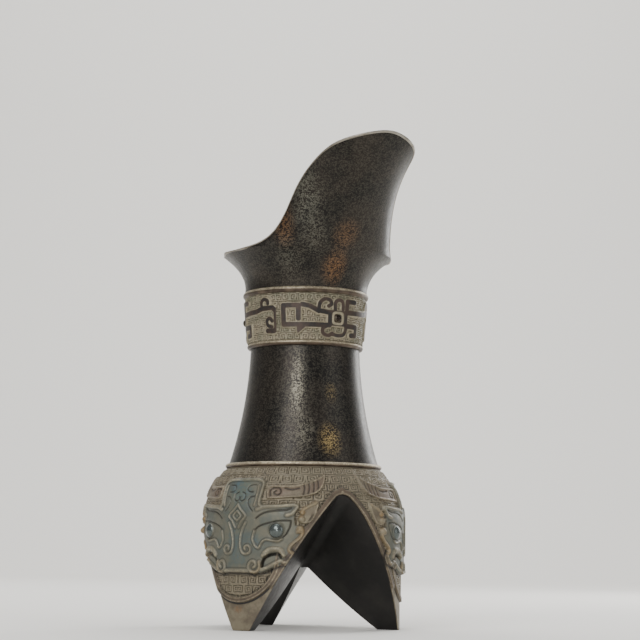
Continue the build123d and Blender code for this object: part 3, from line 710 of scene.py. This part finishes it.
def frieze_shape(u, v):
    """Places the frieze's relief round the collar."""
    turn = 2 * math.pi * u
    z = COLLAR_Z + FRIEZE_MARGIN + (COLLAR_TOP_Z - COLLAR_Z - 2 * FRIEZE_MARGIN) * v
    wall = COLLAR_FOOT_R + (COLLAR_R - COLLAR_FOOT_R) * (z - COLLAR_Z) / (COLLAR_TOP_Z - COLLAR_Z)
    along = FRIEZE_R * ((turn - DRAGON_TURN + LEG_STEP / 2) % LEG_STEP - LEG_STEP / 2)
    up = z - (COLLAR_Z + COLLAR_TOP_Z) / 2
    fret = key_fret(along, up, FRIEZE_FRET)
    bar = np.full(along.shape, -SEARCH_REACH)
    for points in DRAGON_BARS:
        bar = np.maximum(bar, size("bar_width") / 2 - away(along, up, np.array(points)))
    for points in DRAGON_CURLS:
        bar = np.maximum(bar, size("curl_width") / 2 - away(along, up, flow(points)))
    for outline in (DRAGON_FIN, DRAGON_HEAD):
        bar = np.maximum(bar, within(along, up, np.array(outline)))
    body = ease(*BAR_SIDE, bar)
    flat = ease(*BAR_TOP, bar)
    eye_x, eye_z = np.abs(along - DRAGON_EYE[0]), np.abs(up - DRAGON_EYE[1])
    square = (eye_x**4 + eye_z**4) ** 0.25
    eye_ring = ease(*FRAME_OUTER, square) * ease(*FRAME_INNER, square)
    eye_away = np.hypot(eye_x, eye_z)
    boss = ease(DRAGON_EYE_R, DRAGON_EYE_R - DRAGON_EYE_FADE, eye_away)
    pit = PIT_DEPTH * ease(*PIT_SIDE, square) * (1 - eye_ring)
    height = FRIEZE_LIFT + size("fret_relief") * fret * (1 - body)
    height = height + body * (size("dragon_relief") - FRIEZE_LIFT - pit)
    radius = wall + with_boss(height, eye_away, DRAGON_EYE_R, DRAGON_EYE_FOOT, DRAGON_EYE_SQUASH)
    marks = {
        "bar": flat * (1 - boss) * (1 - eye_ring),
        "eye": boss,
        "hollow": (1 - body) * (1 - fret),
        # Paler bar sides, eye frames and fret ridges: wear with a painted highlight
        "wear_and_highlight": np.clip(body * (1 - flat) + eye_ring + FRIEZE_WEAR_AND_HIGHLIGHT * (1 - body) * fret, 0, 1),
    }
    return np.column_stack([radius * np.cos(turn), radius * np.sin(turn), z]), marks


def rim_edge():
    """Outer edge of the mouth's rim in order round it, with the outward direction of the wall below it."""
    bm = bmesh.new()
    bm.from_mesh(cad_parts["mouth_spout"].data)
    bmesh.ops.remove_doubles(bm, verts=bm.verts, dist=MERGE)
    bm.normal_update()
    along = Vector((math.cos(SPOUT_TURN), math.sin(SPOUT_TURN), 0))
    across = Vector((math.sin(SPOUT_TURN), -math.cos(SPOUT_TURN), 0))
    outward = {}
    for edge in bm.edges:
        a, b = edge.verts
        if len(edge.link_faces) != 2 or min(a.co.z, b.co.z) < RIM_LOW * MM:
            continue
        wall, cut = sorted((face.normal for face in edge.link_faces), key=lambda normal: normal.z)
        middle = a.co + b.co
        out = along * middle.dot(along) / MOUTH_REACH**2 + across * middle.dot(across) / MOUTH_HALF**2
        level = abs(cut.dot(across)) < RIM_TILT and cut.z > RIM_RISE
        if level and cut.dot(wall) < RIM_FOLD and wall.dot(out.normalized()) > RIM_OUT:
            for vert in (a, b):
                outward[vert] = outward.get(vert, Vector()) + wall
    right = [v for v in outward if v.co.dot(across) >= 0]
    left = [v for v in outward if v.co.dot(across) < 0]
    order = sorted(right, key=lambda v: -v.co.dot(along)) + sorted(left, key=lambda v: v.co.dot(along))
    line = np.array([v.co for v in order]) / MM
    normals = np.array([outward[v].normalized() for v in order])
    bm.free()
    return line, normals


def rim_shape(u, v):
    """Places a low bead just under the rim, wider and flatter under the spout's tip."""
    line, normals = rim_edge()
    ring = np.vstack([line, line[:1]])
    run = np.concatenate([[0], np.cumsum(np.linalg.norm(np.diff(ring, axis=0), axis=1))])
    even = np.linspace(0, run[-1], RIM_STEPS, endpoint=False)
    place, out = [
        np.column_stack([np.interp(even, run, np.append(part[:, k], part[0, k])) for k in range(3)])
        for part in (line, normals)
    ]
    for _ in range(RIM_SMOOTHING):
        out = (np.roll(out, 1, 0) + 2 * out + np.roll(out, -1, 0)) / 4
    out /= np.linalg.norm(out, axis=1)[:, None]
    down = out[:, 2:] * out - (0, 0, 1)
    down /= np.linalg.norm(down, axis=1)[:, None]
    at = np.round(u * RIM_STEPS).astype(int) % RIM_STEPS
    tip = ease(*RIM_TIP, place[at, 0])[:, None]
    half = size("rim_width") / 2 * (1 + (RIM_TIP_SHARE - 1) * tip)
    turn = (2 * math.pi * v)[:, None]
    proud = (size("rim_relief") + RIM_SUNK) * np.sin(turn) - RIM_SUNK
    spot = place[at] + down[at] * half * (1 - np.cos(turn)) + out[at] * proud
    spot[:, 2] = np.minimum(spot[:, 2], place[at, 2])
    return spot, {"tip": tip[:, 0]}


def new_material(name):
    """An empty node material: its tree, its shader and its Object coordinates."""
    material = bpy.data.materials.new(name)
    material.use_nodes = True
    tree = material.node_tree
    tree.nodes.clear()
    shader = node(tree, "ShaderNodeBsdfPrincipled", {})
    node(tree, "ShaderNodeOutputMaterial", {"Surface": shader.outputs["BSDF"]})
    place = node(tree, "ShaderNodeTexCoord", {}).outputs["Object"]
    return material, tree, shader, place


def new_bronze(name, cloud_mm, fleck_mm, rough):
    """A bronze with broad clouds and fine flecks, which also pit the surface and vary its gloss."""
    material, tree, shader, place = new_material(name)
    cloud, fleck = [
        node(tree, "ShaderNodeTexNoise", {
            "Vector": place, "Scale": 1 / (grain * MM), "Detail": NOISE_DETAIL, "Roughness": NOISE_ROUGHNESS,
        }).outputs["Fac"]
        for grain in (cloud_mm, 2 * fleck_mm)
    ]
    dot_scale = 1 / (DOT_SIZE * fleck_mm * MM)
    dots = node(tree, "ShaderNodeTexVoronoi", {"Vector": place, "Scale": dot_scale}).outputs["Color"]
    mixed = node(tree, "ShaderNodeMix", {"Factor": DOT_SHARE, "A": fleck, "B": dots}).outputs["Result"]
    cloud, speck = [
        node(tree, "ShaderNodeMapRange", {"Value": noise, "From Min": low, "From Max": high},
             interpolation_type="SMOOTHSTEP").outputs["Result"]
        for noise, (low, high) in ((cloud, CLOUD_RANGE), (mixed, SPECK_RANGE))
    ]
    gloss = node(tree, "ShaderNodeMapRange", {
        "Value": fleck, "From Min": GLOSS_RANGE[0], "From Max": GLOSS_RANGE[1],
        "To Min": rough[0], "To Max": rough[1],
    }).outputs["Result"]
    pits = node(tree, "ShaderNodeBump", {"Height": fleck, "Strength": PIT_STRENGTH, "Distance": PIT_MM * MM})
    tree.links.new(pits.outputs["Normal"], shader.inputs["Normal"])
    return SimpleNamespace(material=material, tree=tree, shader=shader, place=place, cloud=cloud, speck=speck,
                           gloss=gloss)


def coat(bronze, base, metallic):
    """Gives a bronze its colour, how metallic it is, and its gloss."""
    bronze.tree.links.new(base, bronze.shader.inputs["Base Color"])
    bronze.shader.inputs["Metallic"].default_value = metallic
    bronze.tree.links.new(bronze.gloss, bronze.shader.inputs["Roughness"])
    return bronze.material


def satin_bronze():
    """Cast tin bronze handled until smooth: brown-black and satin, with speckled stains, gold wear and a
    painted speckled highlight down the waist.
    """
    look = bpy.context.scene.jue_colours
    bronze = new_bronze("smoked satin bronze", cloud_mm=15, fleck_mm=0.7, rough=(0.3, 0.48))
    tree = bronze.tree
    base = node(tree, "ShaderNodeMix", {SHARE: bronze.cloud, UNDER: look.smoke_dark, OVER: look.smoke_brown},
                data_type="RGBA").outputs[BLEND]
    for centre, stretch, reach, colour, most in STAINS_AND_HIGHLIGHTS:
        middle = [c * MM for c in centre]
        spot = node(tree, "ShaderNodeVectorMath", {0: bronze.place, 1: middle}, operation="SUBTRACT")
        drawn = node(tree, "ShaderNodeVectorMath", {0: spot.outputs["Vector"], 1: (1, 1, stretch)},
                     operation="MULTIPLY")
        far = node(tree, "ShaderNodeVectorMath", {0: drawn.outputs["Vector"]}, operation="LENGTH")
        near = node(tree, "ShaderNodeMapRange", {
            "Value": far.outputs["Value"], "From Max": reach * MM, "To Min": most, "To Max": 0.0,
        }, interpolation_type="SMOOTHSTEP").outputs["Result"]
        share = node(tree, "ShaderNodeMath", {0: near, 1: bronze.speck}, operation="MULTIPLY")
        base = node(tree, "ShaderNodeMix", {
            SHARE: share.outputs["Value"], UNDER: base, OVER: getattr(look, colour),
        }, data_type="RGBA").outputs[BLEND]
    few = node(tree, "ShaderNodeMath", {0: bronze.speck, 1: PALE_SPECKS}, operation="MULTIPLY")
    base = node(tree, "ShaderNodeMix", {SHARE: few.outputs["Value"], UNDER: base, OVER: look.pale_fleck_and_highlight},
                data_type="RGBA").outputs[BLEND]
    return coat(bronze, base, metallic=0.7)


def grey_bronze():
    """Plain cast bronze of the belly's floor and inside of the legs: neutral dark grey with a soft sheen."""
    look = bpy.context.scene.jue_colours
    bronze = new_bronze("plain grey bronze", cloud_mm=22, fleck_mm=1.2, rough=(0.38, 0.5))
    base = node(bronze.tree, "ShaderNodeMix", {
        SHARE: bronze.cloud, UNDER: look.plain_dark, OVER: look.plain_grey,
    }, data_type="RGBA").outputs[BLEND]
    return coat(bronze, base, metallic=0.5)


def brown_bronze():
    """Bronze under a thin brown oxide, with a painted highlight along the beads' upper edges."""
    look = bpy.context.scene.jue_colours
    bronze = new_bronze("brown oxidised bronze", cloud_mm=9, fleck_mm=1.0, rough=(0.36, 0.56))
    tree = bronze.tree
    base = node(tree, "ShaderNodeMix", {SHARE: bronze.cloud, UNDER: look.oxide_dark, OVER: look.oxide_brown},
                data_type="RGBA").outputs[BLEND]
    height = node(tree, "ShaderNodeSeparateXYZ", {"Vector": bronze.place}).outputs["Z"]
    patchy_highlight = node(tree, "ShaderNodeMapRange", {"Value": bronze.speck, "To Min": BEAD_HIGHLIGHT_PATCHES}).outputs["Result"]
    # Painted highlight along each bead's upper edge, broken up by the specks
    for edge in BEAD_EDGES:
        below = node(tree, "ShaderNodeMath", {0: edge * MM, 1: height}, operation="SUBTRACT").outputs["Value"]
        off = node(tree, "ShaderNodeMath", {0: below}, operation="ABSOLUTE").outputs["Value"]
        near = node(tree, "ShaderNodeMapRange", {
            "Value": off, "From Min": BEAD_EDGE_MM[0] * MM, "From Max": BEAD_EDGE_MM[1] * MM,
            "To Min": BEAD_EDGE_SHARE, "To Max": 0.0,
        }).outputs["Result"]
        share = node(tree, "ShaderNodeMath", {0: near, 1: patchy_highlight}, operation="MULTIPLY").outputs["Value"]
        base = node(tree, "ShaderNodeMix", {SHARE: share, UNDER: base, OVER: look.bead_highlight_pale},
                    data_type="RGBA").outputs[BLEND]
    return coat(bronze, base, metallic=0.55)


def rim_highlight_bronze():
    """Bronze with a painted highlight along the rim, palest under the spout's tip."""
    look = bpy.context.scene.jue_colours
    bronze = new_bronze("rim bronze with painted highlight", cloud_mm=8, fleck_mm=0.8, rough=(0.28, 0.45))
    tree = bronze.tree
    tip = node(tree, "ShaderNodeAttribute", {}, attribute_name="tip").outputs["Fac"]
    # Painted highlight along the rim, strongest under the spout's tip
    bright = node(tree, "ShaderNodeMapRange", {"Value": tip, "To Min": RIM_BRIGHT}).outputs["Result"]
    part = node(tree, "ShaderNodeMapRange", {"Value": bronze.cloud, "To Min": RIM_PATCH}).outputs["Result"]
    share = node(tree, "ShaderNodeMath", {0: bright, 1: part}, operation="MULTIPLY").outputs["Value"]
    base = node(tree, "ShaderNodeMix", {SHARE: share, UNDER: look.oxide_brown, OVER: look.rim_highlight_grey},
                data_type="RGBA").outputs[BLEND]
    return coat(bronze, base, metallic=0.7)


def carved_bronze(name, layers):
    """Carved bronze: its cut lines are darker, with painted shadow beside its raised lines, dust lies on its
    ground, and its raised lines are paler with wear and a painted highlight.

    Each layer lays the clouds between its two colours over the layers before it, by a mark of the relief.
    """
    look = bpy.context.scene.jue_colours
    bronze = new_bronze(name, cloud_mm=6, fleck_mm=1.0, rough=(0.42, 0.62))
    tree = bronze.tree
    mark = {
        label: node(tree, "ShaderNodeAttribute", {}, attribute_name=label).outputs["Fac"]
        for label, *_ in layers[1:]
    }
    base = None
    for label, most, patchy, colour, other in layers:
        paint = node(tree, "ShaderNodeMix", {
            SHARE: bronze.cloud, UNDER: getattr(look, colour), OVER: getattr(look, other),
        }, data_type="RGBA").outputs[BLEND]
        if base is None:
            base = paint
            continue
        part = node(tree, "ShaderNodeMapRange", {
            "Value": bronze.speck, "To Min": most * (1 - patchy), "To Max": most,
        }).outputs["Result"]
        share = node(tree, "ShaderNodeMath", {0: mark[label], 1: part}, operation="MULTIPLY").outputs["Value"]
        base = node(tree, "ShaderNodeMix", {SHARE: share, UNDER: base, OVER: paint},
                    data_type="RGBA").outputs[BLEND]
    shine = node(tree, "ShaderNodeMapRange", {
        "Value": mark["eye"], "To Min": RELIEF_METAL, "To Max": EYE_METAL,
    }).outputs["Result"]
    tree.links.new(shine, bronze.shader.inputs["Metallic"])
    bronze.gloss = node(tree, "ShaderNodeMix", {
        "Factor": mark["eye"], "A": bronze.gloss, "B": EYE_ROUGHNESS,
    }).outputs["Result"]
    return coat(bronze, base, RELIEF_METAL)


def dress(names, material):
    """Gives CAD nodes a finish."""
    for name in names:
        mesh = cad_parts[name].data
        mesh.materials.clear()
        mesh.materials.append(material)


def length(name, about, size_mm):
    """A size that a user may change, given in millimetres."""
    return bpy.props.FloatProperty(name=name, description=about, default=size_mm * MM, subtype="DISTANCE",
                                   unit="LENGTH", precision=5)


class JueSizes(bpy.types.PropertyGroup):
    """Sizes of the relief."""
    mask_relief: length("Mask relief", "Height of the faces and horns", 1.5)
    line_relief: length("Line relief", "Height of the raised lines", 0.65)
    line_width: length("Line width", "Width of the raised lines", 1.1)
    fret_relief: length("Fret relief", "Depth of the fretted ground", 0.5)
    band_width: length("Band width", "Width of the flat bands", 2.1)
    band_relief: length("Band relief", "Height of the flat bands", 1.0)
    dragon_relief: length("Dragon relief", "Height of the dragons", 1.2)
    bar_width: length("Bar width", "Width of the dragons' bars", 3.0)
    curl_width: length("Curl width", "Width of the dragons' curls", 2.5)
    eye_width: length("Eye width", "Width of an eye", 6.3)
    rim_width: length("Rim width", "Width of the bead that carries the rim's painted highlight", 0.75)
    rim_relief: length("Rim relief", "Height of the bead that carries the rim's painted highlight", 0.3)


def tint(name, about, code):
    """A colour that a user may change, given as an sRGB hex value."""
    return bpy.props.FloatVectorProperty(name=name, description=about, subtype="COLOR", size=4, min=0, max=1,
                                         default=linear(code))


class JueColours(bpy.types.PropertyGroup):
    """Colours of the bronze."""
    smoke_dark: tint("Smoke dark", "Darkest satin bronze", "#131110")
    smoke_brown: tint("Smoke brown", "Browner satin bronze", "#25201c")
    plain_dark: tint("Plain dark", "Darker plain bronze inside the legs", "#1f1e1d")
    plain_grey: tint("Plain grey", "Greyer plain bronze inside the legs", "#2e2c2a")
    fleck_gold: tint("Gold flecks", "Bronze rubbed bare", "#a38a55")
    # Pale specks of dust, and the painted highlight down the waist
    pale_fleck_and_highlight: tint("Pale flecks", "Dust and bare specks, and the painted highlight down the waist", "#8d8878")
    rust_orange: tint("Orange stain", "Orange-brown stain", "#8c5e31")
    dust_grey: tint("Grey dust", "Grey-green dust", "#64645a")
    oxide_dark: tint("Dark oxide", "Dark brown oxide", "#33281f")
    oxide_brown: tint("Brown oxide", "Brown oxide", "#574a3c")
    bar_dark: tint("Dark bars", "Dark bars of the dragons", "#1e1a18")
    bar_brown: tint("Brown bars", "Browner bars of the dragons", "#3a2c23")
    # Paler raised forms: wear with a painted highlight
    pale_wear_and_highlight: tint("Pale edges", "Raised lines paler with wear and a painted highlight", "#a0957b")
    # Painted highlight on the beads' upper edges
    bead_highlight_pale: tint("Bead highlight", "Painted highlight on the beads' upper edges", "#bdb196")
    ground_brown: tint("Ground", "Fretted ground", "#5a5143")
    ground_dust: tint("Ground dust", "Dust on the ground", "#746c59")
    # Darker cut lines, with painted shadow beside the raised lines and in the mouth cut
    hollow_dark: tint("Cut lines", "Darker cut lines, with painted shadow beside the raised lines and in the mouth cut", "#29241f")
    # Painted shadow under the lip and in the mouth cut
    painted_shade_black: tint("Painted shadow", "Painted shadow under the lip and in the mouth cut", "#0f0d0c")
    patina_grey: tint("Grey patina", "Grey patina of the masks", "#50544d")
    patina_tan: tint("Tan patina", "Dustier patina of the masks", "#5f5d50")
    patina_blue: tint("Blue patina", "Blue patina in the middle of the masks", "#45606a")
    patina_green: tint("Green patina", "Greener patina in the middle of the masks", "#4d5d56")
    horn_red: tint("Horns", "Reddish bronze of the horns", "#5c4d40")
    knob_gold: tint("Ear knobs", "Golden bronze of the ears", "#8a7148")
    eye_dark: tint("Eyes", "Polished eyes", "#565c5a")
    frieze_dust: tint("Frieze dust", "Pale dust on the frieze", "#7f7663")
    frieze_green: tint("Frieze green", "Grey-green of the frieze", "#73705c")
    # Painted highlight along the rim
    rim_highlight_grey: tint("Rim", "Painted highlight along the rim", "#9a958a")
    floor_pale: tint("Floor", "Floor and backdrop", "#e4e2dd")


class JUE_OT_smooth_sections(bpy.types.Operator):
    """Finishes the smooth cast sections: mouth, waist and handle"""
    bl_idname = "jue.smooth_sections"
    bl_label = "Smooth sections"

    def execute(self, context):
        dress(["mouth_spout", "waist", "handle_loop", "handle_head"], satin_bronze())
        return {"FINISHED"}


class JUE_OT_rim(bpy.types.Operator):
    """Models the bead along the mouth's rim, which carries a painted highlight"""
    bl_idname = "jue.rim"
    bl_label = "Rim"

    def execute(self, context):
        piece = sheet("rim_bead", RIM_STEPS, RIM_ROUND, rim_shape)
        piece.data.materials.append(rim_highlight_bronze())
        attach(piece, "root")
        return {"FINISHED"}


class JUE_OT_beads_and_body(bpy.types.Operator):
    """Finishes the beads, the plain body and the collar"""
    bl_idname = "jue.beads_and_body"
    bl_label = "Beads and body"

    def execute(self, context):
        dress(["shoulder_bead", "lower_bead", "upper_bead", "frieze_collar"], brown_bronze())
        dress(["tripod_body"], grey_bronze())
        return {"FINISHED"}


class JUE_OT_leg_faces(bpy.types.Operator):
    """Models the masks, horns, borders and fretted ground of the three legs"""
    bl_idname = "jue.leg_faces"
    bl_label = "Leg faces"

    def execute(self, context):
        finish = carved_bronze("grey-green patinated relief bronze", RELIEF_LAYERS)
        for number, shift in enumerate(MASK_SHIFTS, 1):
            piece = sheet(f"leg_face_{number}", *LEG_GRID, leg_shape(LEG_STEP * (number - 0.5), shift))
            piece.data.materials.append(finish)
            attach(piece, "root")
            covered = (f"mask_{number}_", f"toe_band_{number}", f"arch_border_{number}")
            hidden = [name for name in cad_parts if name.startswith(covered)]
            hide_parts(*hidden)
        return {"FINISHED"}


class JUE_OT_frieze(bpy.types.Operator):
    """Models the frieze of dragons on its fretted ground"""
    bl_idname = "jue.frieze"
    bl_label = "Frieze"

    def execute(self, context):
        piece = sheet("frieze_relief", *FRIEZE_GRID, frieze_shape)
        piece.data.materials.append(carved_bronze("frieze bronze with dust and painted highlights", FRIEZE_LAYERS))
        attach(piece, "root")
        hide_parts("frieze_dragon_1", "frieze_dragon_2", "frieze_dragon_3")
        return {"FINISHED"}


def pull(bm, edge, move):
    """Pulls a strip out of an edge, and returns the strip's new end."""
    made = bmesh.ops.extrude_edge_only(bm, edges=[edge])["geom"]
    bmesh.ops.translate(bm, vec=move, verts=[v for v in made if isinstance(v, bmesh.types.BMVert)])
    return next(e for e in made if isinstance(e, bmesh.types.BMEdge))


def studio_floor(colour):
    """A pale paper floor that sweeps up into a wall behind the vessel."""
    bm = bmesh.new()
    front = bm.edges.new([bm.verts.new((FLOOR_FRONT, side, 0)) for side in (-FLOOR_HALF, FLOOR_HALF)])
    back = pull(bm, front, (-FLOOR_FRONT - FLOOR_BACK, 0, 0))
    swept = bmesh.ops.spin(bm, geom=[back], cent=(-FLOOR_BACK, 0, SWEEP_R), axis=(0, 1, 0),
                           angle=math.radians(90), steps=SWEEP_STEPS)["geom_last"]
    pull(bm, next(e for e in swept if isinstance(e, bmesh.types.BMEdge)), (0, 0, WALL_H))
    bmesh.ops.rotate(bm, verts=bm.verts, matrix=Matrix.Rotation(VIEW_TURN + math.pi, 3, "Z"))
    bmesh.ops.recalc_face_normals(bm, faces=bm.faces)
    for face in bm.faces:
        face.smooth = True
    mesh = bpy.data.meshes.new("studio_floor")
    bm.to_mesh(mesh)
    bm.free()
    material, _, shader, _ = new_material("matt backdrop paper")
    shader.inputs["Base Color"].default_value = colour
    shader.inputs["Roughness"].default_value = PAPER_ROUGHNESS
    mesh.materials.append(material)
    return bpy.data.objects.new("studio_floor", mesh)


def studio_light(name, place, aim, area, power):
    """A soft light that shines from its place to its aim."""
    lamp = bpy.data.lights.new(name, "AREA")
    lamp.shape = "RECTANGLE"
    lamp.size, lamp.size_y = area
    lamp.energy = power
    light = bpy.data.objects.new(name, lamp)
    light.location = place
    light.rotation_euler = (Vector(aim) - Vector(place)).to_track_quat("-Z", "Y").to_euler()
    return light


def photo_camera():
    """The camera, low in front of the vessel and turned a little upward."""
    lens = bpy.data.cameras.new("photo_camera")
    lens.lens = LENS_MM
    lens.sensor_width = SENSOR_MM
    camera = bpy.data.objects.new("photo_camera", lens)
    camera.location = CAMERA_PLACE
    camera.rotation_euler = (Matrix.Rotation(VIEW_TURN - math.radians(90), 3, "Z")
                             @ Matrix.Rotation(math.radians(90) + CAMERA_PITCH, 3, "X")
                             @ Matrix.Rotation(CAMERA_ROLL, 3, "Z")).to_euler()
    return camera


class JUE_OT_stage(bpy.types.Operator):
    """Sets up the pale floor with its backdrop, the lights and the camera"""
    bl_idname = "jue.stage"
    bl_label = "Stage"

    def execute(self, context):
        scene = context.scene
        floor = studio_floor(scene.jue_colours.floor_pale)
        scene.collection.objects.link(floor)
        for light in LIGHTS:
            scene.collection.objects.link(studio_light(*light))
        scene.world = bpy.data.worlds.new("studio")
        scene.world.use_nodes = True
        background = scene.world.node_tree.nodes["Background"]
        background.inputs["Color"].default_value = WORLD_GREY
        background.inputs["Strength"].default_value = WORLD_STRENGTH
        scene.camera = photo_camera()
        scene.collection.objects.link(scene.camera)
        return {"FINISHED"}


class JUE_PT_panel(bpy.types.Panel):
    """Lists the pieces, their sizes and their colours"""
    bl_idname = "JUE_PT_panel"
    bl_label = "Bronze jue"
    bl_space_type = "VIEW_3D"
    bl_region_type = "UI"
    bl_category = "Jue"

    def draw(self, context):
        for operator in OPERATORS:
            self.layout.operator(operator.bl_idname)
        for group in (context.scene.jue_sizes, context.scene.jue_colours):
            for name in group.__annotations__:
                self.layout.prop(group, name)


OPERATORS = (
    JUE_OT_smooth_sections, JUE_OT_rim, JUE_OT_beads_and_body, JUE_OT_leg_faces, JUE_OT_frieze, JUE_OT_stage,
)
CLASSES = (JueSizes, JueColours, *OPERATORS, JUE_PT_panel)


def register():
    """Registers the classes and gives each scene its sizes and colours."""
    for item in CLASSES:
        bpy.utils.register_class(item)
    bpy.types.Scene.jue_sizes = bpy.props.PointerProperty(type=JueSizes)
    bpy.types.Scene.jue_colours = bpy.props.PointerProperty(type=JueColours)


def unregister():
    """Takes the sizes, colours and classes away again."""
    del bpy.types.Scene.jue_colours
    del bpy.types.Scene.jue_sizes
    for item in reversed(CLASSES):
        bpy.utils.unregister_class(item)


def main():
    """Dresses the vessel piece by piece and sets the stage."""
    register()
    bpy.ops.jue.smooth_sections()
    bpy.ops.jue.rim()
    bpy.ops.jue.beads_and_body()
    bpy.ops.jue.leg_faces()
    bpy.ops.jue.frieze()
    bpy.ops.jue.stage()


if __name__ == "__main__":
    main()
